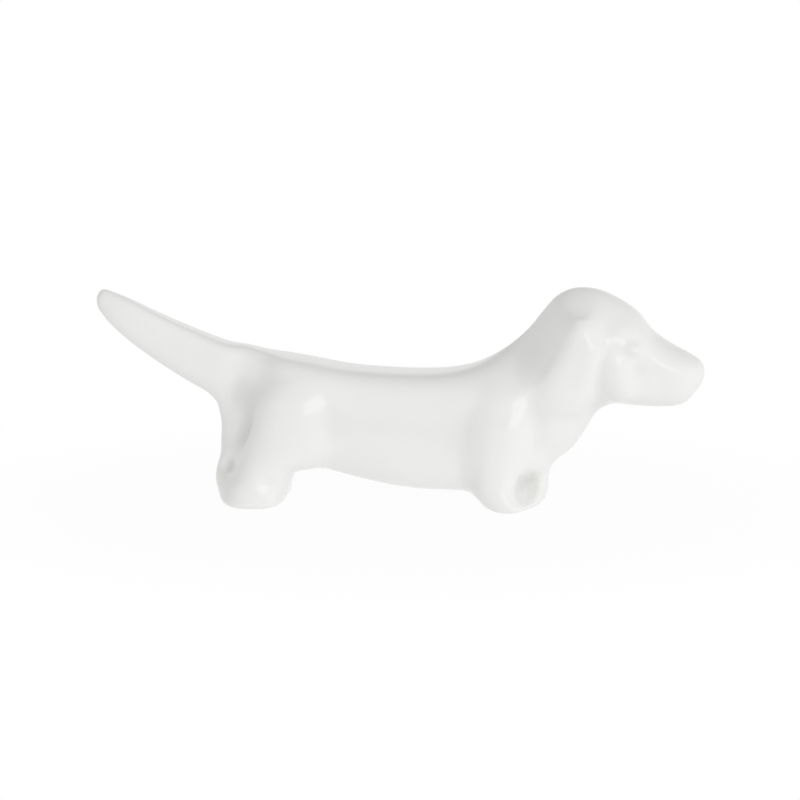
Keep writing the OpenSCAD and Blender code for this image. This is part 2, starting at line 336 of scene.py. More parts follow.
def spine_loft(ribs: Sequence[list[float]], tail_cap: float, nose_cap: float) -> np.ndarray:
    """Rings of a loft through ribs, with a rounded end at the tail and at the nose.

    Args:
        ribs: the rows of the ribs from tail to nose.
        tail_cap: length of the rounded end beyond the first rib.
        nose_cap: length of the rounded end beyond the last rib.

    Returns:
        Points by ring and by place round the ring.
    """
    angle = once_round(SPINE_SIDES)
    above = np.sin(angle) > 0
    rings = []
    run = through(np.array(ribs), SPINE_STEPS)
    for top_x, top_z, base_x, base_z, half_width, widest, back, belly in run:
        square = np.where(above, back, belly)
        height = widest + np.where(above, 1 - widest, widest) * squared(np.sin(angle), square)
        out = half_width * squared(np.cos(angle), square)
        ring = [base_x + height * (top_x - base_x), out, base_z + height * (top_z - base_z)]
        rings.append(np.stack(ring, axis=1))
    tail = rounded_end(rings[0], rings[1], tail_cap)
    nose = rounded_end(rings[-1], rings[-2], nose_cap)
    return np.array([*tail[::-1], *rings, *nose])


def rounded_end(end: np.ndarray, before: np.ndarray, length: float) -> list[np.ndarray]:
    """Rings that close one end of a loft with a stretch of an ellipse.

    Args:
        end: the last ring.
        before: the ring before it.
        length: how far the end reaches beyond the last ring.

    Returns:
        The rings, each smaller than the one before.
    """
    middle = end.mean(axis=0)
    ahead = middle - before.mean(axis=0)
    ahead *= length / np.linalg.norm(ahead)
    first = math.radians(END_START)
    turns = np.linspace(first, math.radians(END_FINISH), END_RINGS + 1)[1:]
    return [middle + math.cos(t) / math.cos(first) * (end - middle)
            + (math.sin(t) - math.sin(first)) / (1 - math.sin(first)) * ahead for t in turns]


def limb_loft(slices: Sequence[Slice], at: float) -> np.ndarray:
    """Rings of a loft through level slices, closed at both ends.

    Args:
        slices: the slices from the lowest to the highest.
        at: the X of the piece's station.

    Returns:
        Points by ring and by place round the ring.
    """
    angle = once_round(LIMB_SIDES)
    rings = []
    run = through(np.array([level.row(at) for level in slices]), LIMB_STEPS)
    for z, rear, front, inside, outside, square in run:
        along = (rear + front) / 2 + (front - rear) / 2 * squared(np.cos(angle), square)
        out = (inside + outside) / 2 + (outside - inside) / 2 * squared(np.sin(angle), square)
        rings.append(np.stack([along, out, np.full_like(angle, z)], axis=1))
    ends = (rings[0], rings[-1])
    foot, top = (end.mean(axis=0) + LIMB_CLOSE * (end - end.mean(axis=0)) for end in ends)
    return np.array([foot, *rings, top])


@dataclass
class Skin:
    """The left half of the figure's surface, cut along the joints.

    A point nearer to a joint than the snap is taken to lie on it. A point within the middle's share of a
    lattice step from the middle plane is put on that plane. The reach of a fold is in lattice steps.
    """

    lattice: Lattice
    values: np.ndarray
    points: np.ndarray = field(init=False)
    faces: np.ndarray = field(init=False)
    quad_of: np.ndarray = field(init=False)
    parts: np.ndarray = field(init=False)
    slopes: list[np.ndarray] = field(init=False)
    hollowness: np.ndarray = field(init=False)
    snap: float = 0.06
    middle: float = 0.45
    settle_rounds: int = 3
    settle_limit: float = 0.2
    fold_reach: float = 9.0
    fold_depth: float = 1.0

    def __post_init__(self) -> None:
        """Draws the skin over the form and keeps its left half."""
        self.slopes = np.gradient(self.values, self.lattice.step)
        self.hollowness = self.values - soften(self.values, self.fold_reach)
        grid = openvdb.FloatGrid()
        grid.copyFromArray(self.values)
        points, quads = grid.convertToQuads(0.0)
        points = points.astype(float) * self.lattice.step + self.lattice.origin
        quads = quads.astype(int)
        quads = quads[points[quads, 1].mean(axis=1) > 0]
        used, quads = np.unique(quads, return_inverse=True)
        quads = quads.reshape(-1, 4)
        self.points = self.settle(points[used])
        corners = self.points[quads]
        facing = np.cross(corners[:, 2] - corners[:, 0], corners[:, 3] - corners[:, 1])
        if (facing * self.normals(corners.mean(axis=1))).sum() < 0:
            quads = quads[:, ::-1]
        self.faces = np.concatenate([quads[:, [0, 1, 2]], quads[:, [0, 2, 3]]])
        self.quad_of = np.tile(np.arange(len(quads)), 2)
        self.parts = np.full(len(self.faces), Part.TORSO.value)

    def slope(self, places: np.ndarray) -> np.ndarray:
        """How fast the distance grows along each axis at these places."""
        return np.stack([self.lattice.sample(values, places) for values in self.slopes], axis=1)

    def normals(self, places: np.ndarray) -> np.ndarray:
        """Unit vectors out of the form at these places."""
        slope = self.slope(places)
        return slope / np.maximum(np.linalg.norm(slope, axis=1, keepdims=True), TINY)

    def folds(self, places: np.ndarray) -> np.ndarray:
        """How deep each place lies in a fold, from 0 on open surface to 1."""
        return np.clip(self.lattice.sample(self.hollowness, places) / self.fold_depth, 0, 1)

    def settle(self, places: np.ndarray) -> np.ndarray:
        """Moves points onto the surface.

        Args:
            places: points near the surface.

        Returns:
            The points on it; those on the middle plane stay on that plane.
        """
        level = np.abs(places[:, 1]) < self.middle * self.lattice.step
        for _ in range(self.settle_rounds):
            slope = self.slope(places)
            lift = self.lattice.sample(self.values, places) / (slope ** 2).sum(axis=1)
            places = places - np.clip(lift, -self.settle_limit, self.settle_limit)[:, None] * slope
            places[level, 1] = 0.0
        return places

    def cut(self, part: Part, joint: np.ndarray) -> None:
        """Cuts a piece out of the torso's share of the skin.

        Args:
            part: the piece.
            joint: one number per lattice point, negative on the piece's side of the joint.
        """
        where = self.lattice.sample(joint, self.points)
        where = np.where(np.abs(where) < self.snap, 0.0, where)
        sign = np.sign(where)
        ends = np.concatenate([self.faces[:, pair] for pair in ([0, 1], [1, 2], [2, 0])])
        ends = np.sort(ends, axis=1)
        ends = np.unique(ends[sign[ends].prod(axis=1) < 0], axis=0)
        near, far = ends.T
        share = where[near] / (where[near] - where[far])
        fresh = self.points[near] + share[:, None] * (self.points[far] - self.points[near])
        crossing = {tuple(pair): len(self.points) + k for k, pair in enumerate(ends.tolist())}
        self.points = np.concatenate([self.points, self.settle(fresh)])
        sign = np.concatenate([sign, np.zeros(len(fresh))])
        corner = sign[self.faces]
        mixed = (corner.min(axis=1) < 0) & (corner.max(axis=1) > 0)
        faces, quad_of, parts = [self.faces[~mixed]], [self.quad_of[~mixed]], [self.parts[~mixed]]
        pieces: list[Triangle] = []
        owners: list[int] = []
        for face, owner in zip(self.faces[mixed].tolist(), self.parts[mixed].tolist()):
            made = split_triangle(face, crossing)
            pieces += made
            owners += [owner] * len(made)
        faces.append(np.array(pieces, dtype=int).reshape(-1, 3))
        quad_of.append(np.full(len(pieces), NO_QUAD))
        parts.append(np.array(owners, dtype=int))
        self.faces, self.quad_of, self.parts = map(np.concatenate, (faces, quad_of, parts))
        inside = (sign[self.faces].sum(axis=1) < 0) & (self.parts == Part.TORSO.value)
        self.parts[inside] = part.value


def split_triangle(face: list[int], crossing: dict[Edge, int]) -> list[Triangle]:
    """The triangles that a cut makes of one.

    Args:
        face: the triangle's corners.
        crossing: the new point on each edge that the cut crosses.

    Returns:
        Two triangles if the cut runs through a corner, else three.
    """
    middle = [crossing.get((min(a, b), max(a, b))) for a, b in zip(face, face[1:] + face[:1])]
    if middle.count(None) == 2:
        k = next(i for i in range(3) if middle[i] is not None)
        a, b, c = (face[(k + i) % 3] for i in range(3))
        return [(a, middle[k], c), (middle[k], b, c)]
    k = middle.index(None)
    b, c, a = (face[(k + i) % 3] for i in range(3))
    to_a, from_a = middle[(k + 1) % 3], middle[(k + 2) % 3]
    return [(a, from_a, to_a), (from_a, b, c), (from_a, c, to_a)]


@dataclass
class Shell:
    """The surface of a piece: points, faces and which of the faces are hidden in a joint."""

    points: np.ndarray
    faces: list[tuple[int, ...]]
    hidden: list[bool]

    def mirrored(self) -> "Shell":
        """The same piece on the other side of the middle plane."""
        return Shell(self.points * (1, -1, 1), [face[::-1] for face in self.faces], self.hidden)

    def joined_with_mirror(self) -> "Shell":
        """Welds the piece to its mirror image where they meet on the middle plane.

        Returns:
            The whole piece.
        """
        apart = np.abs(self.points[:, 1]) > TINY
        number = np.arange(len(self.points))
        number[apart] = len(self.points) + np.arange(apart.sum())
        other = [tuple(int(number[i]) for i in reversed(face)) for face in self.faces]
        points = np.concatenate([self.points, self.points[apart] * (1, -1, 1)])
        return Shell(points, self.faces + other, self.hidden * 2)


@dataclass
class Joiner:
    """Closes the pieces of a cut skin with mating faces inside the joints."""

    skin: Skin
    ear_inset: float = 0.8
    middles: dict[tuple[int, int], np.ndarray] = field(default_factory=dict)

    def borders(self, part: Part) -> dict[int, list[Edge]]:
        """Finds the open edges of a piece.

        Args:
            part: the piece.

        Returns:
            The edges by the piece across them, or by what stands for the middle plane.
        """
        owner = {}
        for face, value in zip(self.skin.faces.tolist(), self.skin.parts.tolist()):
            for edge in zip(face, face[1:] + face[:1]):
                owner[edge] = value
        found: dict[int, list[Edge]] = {}
        for (a, b), value in owner.items():
            across = owner.get((b, a), MIDDLE_PLANE)
            if value == part.value and across != value:
                found.setdefault(across, []).append((a, b))
        return found

    def middle_of(self, part: int, across: int, edges: list[Edge]) -> np.ndarray:
        """Finds the point inside a joint on which its faces close.

        Args:
            part: the piece.
            across: the piece on the other side, or what stands for the middle plane.
            edges: the joint's edges on the skin.

        Returns:
            The point, the same for both pieces.
        """
        key = (min(part, across), max(part, across))
        if key not in self.middles:
            places = self.skin.points[sorted({i for edge in edges for i in edge})]
            middle = places.mean(axis=0)
            if Part.EAR.value in key:
                middle[1] -= self.ear_inset
            elif {Part.TAIL.value, Part.HEAD.value, MIDDLE_PLANE} & set(key):
                middle[1] = 0.0
            self.middles[key] = middle
        return self.middles[key]

    def shell(self, part: Part) -> Shell:
        """The left half of a piece, closed inside its joints.

        Args:
            part: the piece.

        Returns:
            The shell, open on the middle plane if the piece goes across it.
        """
        skin = self.skin
        mine = np.flatnonzero(skin.parts == part.value)
        first: dict[int, int] = {}
        faces: list[tuple[int, ...]] = []
        for k in mine.tolist():
            quad = int(skin.quad_of[k])
            if quad in first:
                a, b, c = skin.faces[first.pop(quad)].tolist()
                faces.append((a, b, c, int(skin.faces[k][2])))
            elif quad != NO_QUAD:
                first[quad] = k
            else:
                faces.append(tuple(skin.faces[k].tolist()))
        faces += [tuple(skin.faces[k].tolist()) for k in first.values()]
        hidden = [False] * len(faces)
        extra: list[np.ndarray] = []
        for across, edges in self.borders(part).items():
            if across == MIDDLE_PLANE and part not in (Part.FORELEG, Part.HIND_LEG):
                continue
            extra.append(self.middle_of(part.value, across, edges))
            centre = len(skin.points) + len(extra) - 1
            starts, ends = {a for a, _ in edges}, {b for _, b in edges}
            chord = [(b, a) for a in starts - ends for b in ends - starts]
            if abs(extra[-1][1]) < TINY and across != MIDDLE_PLANE:
                chord = []
            faces += [(b, a, centre) for a, b in [*edges, *chord]]
            hidden += [True] * (len(edges) + len(chord))
        points = np.concatenate([skin.points, np.array(extra).reshape(-1, 3)])
        used = np.unique([i for face in faces for i in face])
        number = {int(old): new for new, old in enumerate(used)}
        return Shell(points[used], [tuple(number[i] for i in face) for face in faces], hidden)


@dataclass
class Wiring:
    """A node tree, with short ways to add what the finishes and the studio need."""

    tree: bpy.types.NodeTree

    def fill(self, node: bpy.types.Node, inputs: dict[str | int, Input]) -> None:
        """Fills the inputs of a node.

        Args:
            node: the node.
            inputs: a constant, or a socket to link, by the input's name or number.
        """
        for name, value in inputs.items():
            if isinstance(value, Socket):
                self.tree.links.new(value, node.inputs[name])
            else:
                node.inputs[name].default_value = value

    def add(
        self, kind: str, inputs: dict[str | int, Input] | None = None, **settings: str
    ) -> bpy.types.Node:
        """Adds a node.

        Args:
            kind: the kind of node, without the words that every kind begins with.
            inputs: what its inputs get.
            settings: its own settings, made before the inputs are filled.

        Returns:
            The node.
        """
        node = self.tree.nodes.new(f"ShaderNode{kind}")
        for name, value in settings.items():
            setattr(node, name, value)
        self.fill(node, inputs or {})
        return node

    def worked(self, operation: str, first: Socket, second: Socket | float) -> Socket:
        """The result of one operation on two values."""
        return self.add("Math", {0: first, 1: second}, operation=operation).outputs["Value"]

    def noise(self, place: Socket, scale: float, detail: float) -> Socket:
        """The strength of a noise at each place."""
        return self.add("TexNoise", {"Vector": place, "Scale": scale, "Detail": detail}).outputs["Fac"]

    def bump(self, height: Socket, strength: float, distance: float) -> Socket:
        """The normal of a surface with this relief."""
        relief = {"Height": height, "Strength": strength, "Distance": distance}
        return self.add("Bump", relief).outputs["Normal"]

    def spread(self, value: Socket, given: Pair, wanted: Pair, way: str = "LINEAR") -> Socket:
        """A value carried over from one range to another one."""
        ends = {"From Min": given[0], "From Max": given[1], "To Min": wanted[0], "To Max": wanted[1]}
        return self.add("MapRange", {"Value": value, **ends}, interpolation_type=way).outputs["Result"]

    def ramp(self, value: Socket, ends: Pair, colours: tuple[Colour, Colour]) -> Socket:
        """Goes from one colour to another one.

        Args:
            value: what the colour depends on.
            ends: the value at which each colour is reached.
            colours: the two colours.

        Returns:
            The colour.
        """
        node = self.add("ValToRGB", {"Fac": value})
        for element, position, colour in zip(node.color_ramp.elements, ends, colours):
            element.position, element.color = position, colour
        return node.outputs["Color"]

    def rays(self) -> tuple[Socket, Socket]:
        """Tells the rays apart.

        Returns:
            A value that is 1 for rays from the camera, and one for rays off gloss or through glass.
        """
        path = self.add("LightPath").outputs
        bounced = self.worked("MAXIMUM", path["Is Glossy Ray"], path["Is Transmission Ray"])
        return path["Is Camera Ray"], bounced


def new_material(name: str) -> tuple[bpy.types.Material, Wiring]:
    """Makes a material with a plain shader.

    Args:
        name: the material's name.

    Returns:
        The material and its node tree.
    """
    material = bpy.data.materials.new(name)
    material.use_nodes = True
    return material, Wiring(material.node_tree)


class Finish(Enum):
    """The surfaces of the porcelain, in the order of a piece's material slots."""

    GLAZE = 0
    BISQUE = 1


@dataclass(frozen=True)
class Glaze:
    """Clear gloss glaze over white porcelain: cloudy, slightly wavy, and darker in the folds, partly as
    pooled glaze and partly as painted shade.
    """

    white: Colour = (0.872, 0.873, 0.858, 1.0)
    cloud: Colour = (0.854, 0.856, 0.838, 1.0)
    # Colour in the deepest folds: partly pooled glaze, partly painted shade where the hollows fall dark.
    pooled_and_shaded: Colour = (0.68, 0.682, 0.665, 1.0)
    cloud_scale: float = 90.0
    cloud_detail: float = 3.0
    cloud_ends: Pair = (0.3, 0.7)
    pool_and_shade_depth: Pair = (0.1, 0.9)
    swell_scale: float = 260.0
    swell_detail: float = 2.0
    swell_strength: float = 0.25
    swell_height: float = 0.00006
    roughness: Pair = (0.06, 0.12)
    refraction: float = 1.5

    def material(self) -> bpy.types.Material:
        """Makes the glaze.

        Returns:
            A glossy material whose tint, sheen and relief come from noise, and whose colour darkens in the
            skin's folds as pooled glaze and painted shade.
        """
        material, wiring = new_material("clear_gloss_glaze")
        place = wiring.add("TexCoord").outputs["Object"]
        clouds = wiring.noise(place, self.cloud_scale, self.cloud_detail)
        swell = wiring.noise(place, self.swell_scale, self.swell_detail)
        tint = wiring.ramp(clouds, self.cloud_ends, (self.cloud, self.white))
        # Darkens the colour in the skin's folds: partly pooled glaze, partly painted shade.
        fold = wiring.add("Attribute", attribute_name=POOL_AND_SHADE).outputs["Fac"]
        depth = wiring.spread(fold, self.pool_and_shade_depth, UNIT)
        pool_and_shade = wiring.add("Mix", {"Factor": depth, "A": tint, "B": self.pooled_and_shaded}, data_type="RGBA")
        wiring.fill(wiring.tree.nodes["Principled BSDF"], {
            "Base Color": pool_and_shade.outputs["Result"],
            "Roughness": wiring.spread(swell, UNIT, self.roughness),
            "Normal": wiring.bump(swell, self.swell_strength, self.swell_height),
            "IOR": self.refraction,
        })
        return material


@dataclass(frozen=True)
class Bisque:
    """Dry, finely grained body on the soles, where the glaze was wiped off."""

    pale: Colour = (0.8, 0.785, 0.745, 1.0)
    dark: Colour = (0.72, 0.7, 0.655, 1.0)
    grain_scale: float = 2600.0
    grain_detail: float = 4.0
    grain_ends: Pair = (0.3, 0.65)
    grain_strength: float = 0.5
    grain_height: float = 0.00005
    roughness: float = 0.85

    def material(self) -> bpy.types.Material:
        """Makes the bare body.

        Returns:
            A matt material with a fine grain.
        """
        material, wiring = new_material("bare_bisque_sole")
        place = wiring.add("TexCoord").outputs["Object"]
        grain = wiring.noise(place, self.grain_scale, self.grain_detail)
        wiring.fill(wiring.tree.nodes["Principled BSDF"], {
            "Base Color": wiring.ramp(grain, self.grain_ends, (self.dark, self.pale)),
            "Normal": wiring.bump(grain, self.grain_strength, self.grain_height),
            "Roughness": self.roughness,
        })
        return material


def joint_plane(node: str, towards: float) -> tuple[np.ndarray, np.ndarray]:
    """The flat face on which a node of the frame sits against the torso.

    Args:
        node: the node's name.
        towards: the sign of X from the torso to the node.

    Returns:
        A point on the face and the unit normal that points into the node, in millimetres.
    """
    mesh = bpy.data.objects[node].data
    groups: dict[tuple[float, ...], list[int]] = {}
    for polygon in mesh.polygons:
        if abs(polygon.normal.y) < JOINT_SIDEWAYS and polygon.normal.x * towards < -JOINT_FACING:
            turn = [round(c, NORMAL_DIGITS) for c in polygon.normal]
            depth = round(polygon.normal.dot(polygon.center), DEPTH_DIGITS)
            groups.setdefault((*turn, depth), []).append(polygon.index)
    chosen = max(groups.values(), key=lambda group: sum(mesh.polygons[i].area for i in group))
    face = mesh.polygons[chosen[0]]
    return np.array(face.center) / MM, -np.array(face.normal)


def plane_field(lattice: Lattice, node: str, towards: float) -> np.ndarray:
    """Signed distance from the flat joint of a node.

    Args:
        lattice: the points at which it is wanted.
        node: the node's name.
        towards: the sign of X from the torso to the node.

    Returns:
        The distance at each lattice point, negative on the node's side.
    """
    point, normal = joint_plane(node, towards)
    x, _, z = lattice.axes()
    level = -(x - point[0]) * normal[0] - (z - point[2]) * normal[2]
    return np.broadcast_to(level, lattice.shape).astype(np.float32)


def placed(name: str, data: bpy.types.ID) -> bpy.types.Object:
    """Puts a new object into the scene.

    Args:
        name: the object's name.
        data: its mesh, lamp or camera.

    Returns:
        The object.
    """
    made = bpy.data.objects.new(name, data)
    bpy.context.collection.objects.link(made)
    return made


@dataclass
class Forms:
    """The raw forms of the dog, as signed distances, before they are welded into one."""

    spine: np.ndarray
    skull: np.ndarray
    ears: np.ndarray
    hind_legs: np.ndarray
    forelegs: np.ndarray


@dataclass
class Piece:
    """What the dog's pieces share: a station on the frame, and how a piece is built and dressed."""

    at: float
    part: ClassVar[Part]
    nodes: ClassVar[tuple[str, ...]]
    slot: ClassVar[str] = "glazed_porcelain"
    sole_height: ClassVar[float] = 0.03

    def joint(self, lattice: Lattice, forms: Forms) -> np.ndarray:
        """A field that is negative on the piece's side of its joint; the torso is what is left over."""
        raise NotImplementedError

    def build(self, joiner: Joiner) -> list[bpy.types.Object]:
        """Builds the mesh of each of the piece's nodes.

        Args:
            joiner: what closes the pieces of the cut skin.

        Returns:
            One object for a piece on the middle plane, else the left and the right one.
        """
        shell = joiner.shell(self.part)
        if len(self.nodes) == 1:
            shells = [shell.joined_with_mirror()]
        else:
            shells = [shell, shell.mirrored()]
        return [self.cast(node, shape, joiner.skin) for node, shape in zip(self.nodes, shells)]

    def cast(self, node: str, shell: Shell, skin: Skin) -> bpy.types.Object:
        """Makes one closed mesh that stands for a node of the frame.

        Args:
            node: the node's name.
            shell: the closed surface.
            skin: the skin that the surface was cut from.

        Returns:
            The object, riding on the frame's body.
        """
        mesh = bpy.data.meshes.new(node)
        mesh.from_pydata((shell.points * MM).tolist(), [], shell.faces)
        mesh.update()
        mesh.polygons.foreach_set("use_smooth", [True] * len(shell.faces))
        smooth = skin.normals(shell.points)
        flat = [tuple(polygon.normal) for polygon in mesh.polygons]
        normals: list[tuple[float, ...]] = []
        for face, hidden, facing in zip(shell.faces, shell.hidden, flat):
            normals += [facing] * len(face) if hidden else [tuple(smooth[i]) for i in face]
        mesh.normals_split_custom_set(normals)
        # Fold depth per point, which the glaze turns into pooled glaze and painted shade.
        mesh.attributes.new(POOL_AND_SHADE, "FLOAT", "POINT").data.foreach_set("value", skin.folds(shell.points))
        made = placed(f"{node}_porcelain", mesh)
        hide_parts(node)
        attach(made, "root")
        return made

    def dress(self, made: bpy.types.Object, finishes: dict[Finish, bpy.types.Material]) -> None:
        """Glazes a piece and leaves its sole bare.

        Args:
            made: the piece.
            finishes: the material of each finish.
        """
        mesh = made.data
        for finish in Finish:
            mesh.materials.append(finishes[finish])
        low = self.sole_height * MM
        for polygon in mesh.polygons:
            sole = all(mesh.vertices[i].co.z < low for i in polygon.vertices)
            polygon.material_index = (Finish.BISQUE if sole else Finish.GLAZE).value


@dataclass
class SpinePiece(Piece):
    """A stretch of the loft from the tail to the nose."""

    ribs: tuple[Rib, ...]

    def rows(self) -> list[list[float]]:
        """The rows of the ribs, from the one nearest to the tail."""
        return [rib.row(self.at) for rib in self.ribs]


@dataclass
class Tail(SpinePiece):
    """The raised tail: flat flanks, a narrow flat top and a blunt tip. Its station is the tip."""

    part: ClassVar[Part] = Part.TAIL
    nodes: ClassVar[tuple[str, ...]] = ("tail",)
    tip: float = 1.0
    ribs: tuple[Rib, ...] = (
        Rib((1.4, 33.2), (0.5, 29.7), 1.3, 0.5, 2.4, 2.2),
        Rib((5.0, 31.75), (2.4, 27.5), 2.0, 0.5, 3.6, 2.6),
        Rib((8.7, 29.95), (5.6, 24.75), 2.5, 0.5, 4.2, 2.8),
        Rib((13.0, 28.0), (10.1, 21.6), 3.0, 0.5, 4.4, 3.0),
        Rib((17.2, 26.3), (14.4, 18.95), 3.4, 0.5, 4.4, 3.0),
        Rib((20.8, 25.0), (18.1, 16.6), 3.7, 0.55, 4.4, 2.4),
    )

    def joint(self, lattice: Lattice, forms: Forms) -> np.ndarray:
        """A field that is negative behind the joint at the rump."""
        return plane_field(lattice, "tail", -1)


@dataclass
class Torso(SpinePiece):
    """Rump, barrel, chest and lower neck, with the saddle of the back, whose middle is its station."""

    part: ClassVar[Part] = Part.TORSO
    nodes: ClassVar[tuple[str, ...]] = ("torso",)
    ribs: tuple[Rib, ...] = (
        Rib((-23.6, 24.55), (-27.5, 13.0), 3.5, 0.72, 3.4, 1.3),
        Rib((-20.6, 23.8), (-26.8, 8.6), 4.4, 0.74, 3.8, 1.1),
        Rib((-17.5, 23.2), (-21.0, 6.8), 6.7, 0.68, 4.0, 1.6),
        Rib((-13.6, 22.5), (-14.6, 6.4), 7.7, 0.5, 4.2, 2.6),
        Rib((-7.7, 21.45), (-7.7, 4.5), 7.8, 0.48, 4.4, 2.6),
        Rib((0.0, 20.95), (0.0, 2.9), 7.8, 0.46, 4.4, 2.6),
        Rib((6.3, 21.05), (6.6, 2.4), 7.8, 0.46, 4.2, 2.6),
        Rib((10.8, 21.85), (12.8, 2.6), 7.9, 0.5, 3.4, 2.6),
        Rib((14.3, 23.4), (18.8, 4.3), 7.8, 0.62, 2.2, 2.5),
        Rib((17.3, 25.4), (23.3, 6.9), 7.6, 0.62, 1.4, 2.4),
    )


@dataclass
class Head(SpinePiece):
    """Upper neck, skull, muzzle and nose, with the face in relief. Its station is the nose."""

    part: ClassVar[Part] = Part.HEAD
    nodes: ClassVar[tuple[str, ...]] = ("head",)
    nose: float = 1.5
    ribs: tuple[Rib, ...] = (
        Rib((-27.1, 28.0), (-20.8, 8.7), 7.8, 0.6, 1.25, 2.2),
        Rib((-25.0, 30.6), (-18.5, 11.6), 7.9, 0.64, 1.25, 2.2),
        Rib((-22.8, 33.0), (-16.6, 14.8), 7.6, 0.67, 1.35, 2.4),
        Rib((-20.0, 34.2), (-14.3, 16.2), 7.1, 0.63, 1.45, 2.6),
        Rib((-16.5, 34.0), (-12.0, 16.15), 6.8, 0.54, 1.8, 2.6),
        Rib((-13.0, 32.5), (-9.8, 16.0), 6.2, 0.54, 1.8, 2.7),
        Rib((-10.2, 30.5), (-7.8, 15.95), 5.5, 0.56, 1.75, 3.0),
        Rib((-8.0, 27.8), (-6.2, 15.95), 5.0, 0.62, 1.7, 3.2),
        Rib((-5.4, 25.9), (-4.3, 16.1), 4.7, 0.61, 1.75, 3.2),
        Rib((-2.8, 24.5), (-2.6, 16.75), 4.1, 0.6, 1.75, 3.0),
        Rib((-1.4, 23.7), (-1.3, 18.2), 3.2, 0.58, 1.6, 2.4),
    )
    cheek: Bulge = Bulge((-12.7, 4.4, 20.9), (2.3, 2.4, 3.6), -8.0, 2.4)
    brow: Bulge = Bulge((-13.2, 4.0, 27.0), (1.7, 1.8, 1.8), -25.0)
    hollow: Bulge = Bulge((-9.3, 8.8, 22.4), (2.8, 3.0, 3.8), -12.0)
    eye: Bulge = Bulge((-11.0, 5.0, 25.5), (1.4, 1.8, 1.1), -25.0)
    cheek_fillet: float = 1.6
    brow_fillet: float = 2.0
    hollow_fillet: float = 2.0
    eye_fillet: float = 0.7

    def modelled(self, lattice: Lattice, spine: np.ndarray) -> np.ndarray:
        """Adds the relief of the face to the spine.

        Args:
            lattice: the points of the field.
            spine: the loft from tail to nose.

        Returns:
            The spine with cheeks, brows and eyes, and with the hollows ahead of the cheeks.
        """
        skull = weld(spine, self.cheek.distance(lattice, self.at), self.cheek_fillet)
        skull = weld(skull, self.brow.distance(lattice, self.at), self.brow_fillet)
        skull = carve(skull, self.hollow.distance(lattice, self.at), self.hollow_fillet)
        return weld(skull, self.eye.distance(lattice, self.at), self.eye_fillet)

    def joint(self, lattice: Lattice, forms: Forms) -> np.ndarray:
        """A field that is negative ahead of the joint across the neck."""
        return plane_field(lattice, "head", 1)


@dataclass
class Ear(Piece):
    """A drop-shaped flap, flat outside, that melts into the neck at its tip. Its station is the nose."""

    part: ClassVar[Part] = Part.EAR
    nodes: ClassVar[tuple[str, ...]] = ("left_ear", "right_ear")
    slices: tuple[Slice, ...] = (
        Slice(16.4, -23.2, -19.4, 4.4, 7.2, 2.6),
        Slice(18.0, -24.2, -17.8, 4.2, 8.0, 2.8),
        Slice(20.2, -24.3, -16.9, 4.0, 8.6, 3.0),
        Slice(22.9, -23.2, -16.0, 3.8, 8.9, 3.2),
        Slice(25.6, -21.9, -15.4, 3.6, 8.8, 3.2),
        Slice(27.6, -21.0, -16.2, 3.4, 8.5, 2.8),
        Slice(28.9, -20.6, -16.8, 3.0, 8.2, 2.4),
        Slice(30.0, -20.2, -17.6, 2.8, 7.4, 2.2),
    )
    fillet: float = 1.0
    tip_fillet: float = 3.0
    root_fillet: float = 2.2
    tip_melt: Pair = (17.5, 23.5)
    root_melt: Pair = (26.5, 30.0)
    setback: float = 0.5

    def form(self, lattice: Lattice) -> np.ndarray:
        """Signed distance from the pair of ears."""
        return both_sides(lattice.distance(limb_loft(self.slices, self.at)))

    def welded(self, lattice: Lattice, body: np.ndarray, ears: np.ndarray) -> np.ndarray:
        """The body with the ears on it.

        Args:
            lattice: the points of the fields.
            body: the rest of the dog.
            ears: the pair of ears.

        Returns:
            The two welded, with a wider fillet at the ears' roots and tips.
        """
        z = lattice.axes()[2]
        fillet = np.interp(z, [*self.tip_melt, *self.root_melt],
                           [self.tip_fillet, self.fillet, self.fillet, self.root_fillet])
        return weld(body, ears, fillet.astype(np.float32))

    def joint(self, lattice: Lattice, forms: Forms) -> np.ndarray:
        """A field that is negative on the ear's side of its joint, clear of the joint across the neck."""
        return np.maximum(forms.ears - forms.skull, self.setback + plane_field(lattice, "head", 1))


@dataclass
class Leg(Piece):
    """A leg of either pair: its swelling, its column and foot, and half of the web that joins the pair."""

    swelling: Bulge
    slices: tuple[Slice, ...]
    web: tuple[Slice, ...]
    hollows: tuple[Bulge, ...]
    swelling_fillet: float = 2.5
    web_fillet: float = 2.2
    hollow_fillet: float = 1.2

    def form(self, lattice: Lattice) -> np.ndarray:
        """Signed distance from the pair of legs and their web.

        Args:
            lattice: the points at which it is wanted.

        Returns:
            The distance at each lattice point.
        """
        limb = both_sides(lattice.distance(limb_loft(self.slices, self.at)))
        limb = weld(limb, self.swelling.distance(lattice, self.at), self.swelling_fillet)
        limb = weld(limb, lattice.distance(limb_loft(self.web, self.at)), self.web_fillet)
        for hollow in self.hollows:
            limb = carve(limb, hollow.distance(lattice, self.at), self.hollow_fillet)
        return limb


